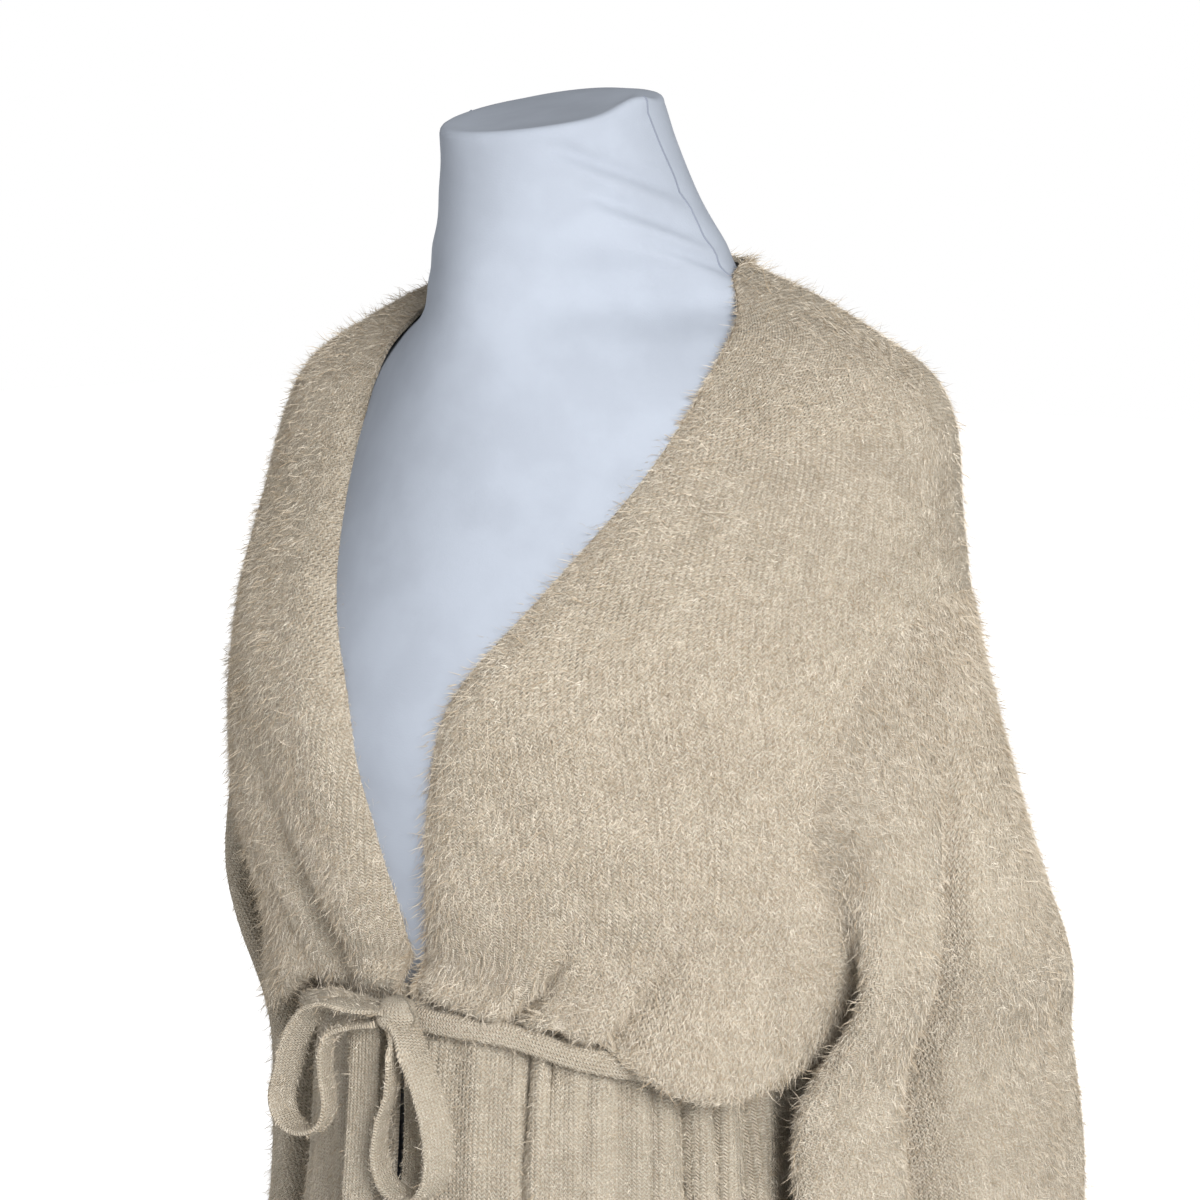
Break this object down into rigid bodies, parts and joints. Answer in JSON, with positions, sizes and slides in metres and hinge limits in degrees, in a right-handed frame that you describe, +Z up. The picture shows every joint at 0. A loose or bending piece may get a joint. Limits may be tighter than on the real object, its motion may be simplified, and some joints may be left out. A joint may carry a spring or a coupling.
{
  "type": "cardigan on a dress form",
  "caption": "Soft brushed-knit cardigan with a deep V front, tied empire waist, gathered peplum and wide hanging drop-shoulder sleeves, on a smooth flat-based dress form.",
  "frame": {"origin": "on the floor plane, in the flat foot of the dress form", "axes": "+Z up, -Y is the wearer's front, +X is the wearer's left"},
  "size_m": [0.4782, 0.3199, 0.7892],
  "materials": {
    "knit": "brushed fuzzy heathered oatmeal knit",
    "tie_knit": "narrow rolled knit strap",
    "form_jersey": "smooth white jersey cover"
  },
  "bodies": {
    "root": {"bodice_back": "knit", "bodice_front_left": "knit", "bodice_front_right": "knit", "sleeve_left": "knit", "sleeve_right": "knit", "skirt_back": "knit", "skirt_front_left": "knit", "skirt_front_right": "knit", "tie_left": "tie_knit", "tie_right": "tie_knit", "tie_knot": "tie_knit", "bow_loop_left": "tie_knit", "bow_loop_right": "tie_knit", "tie_tail_left": "tie_knit", "tie_tail_right": "tie_knit", "dress_form": "form_jersey"}
  },
  "joints": []
}
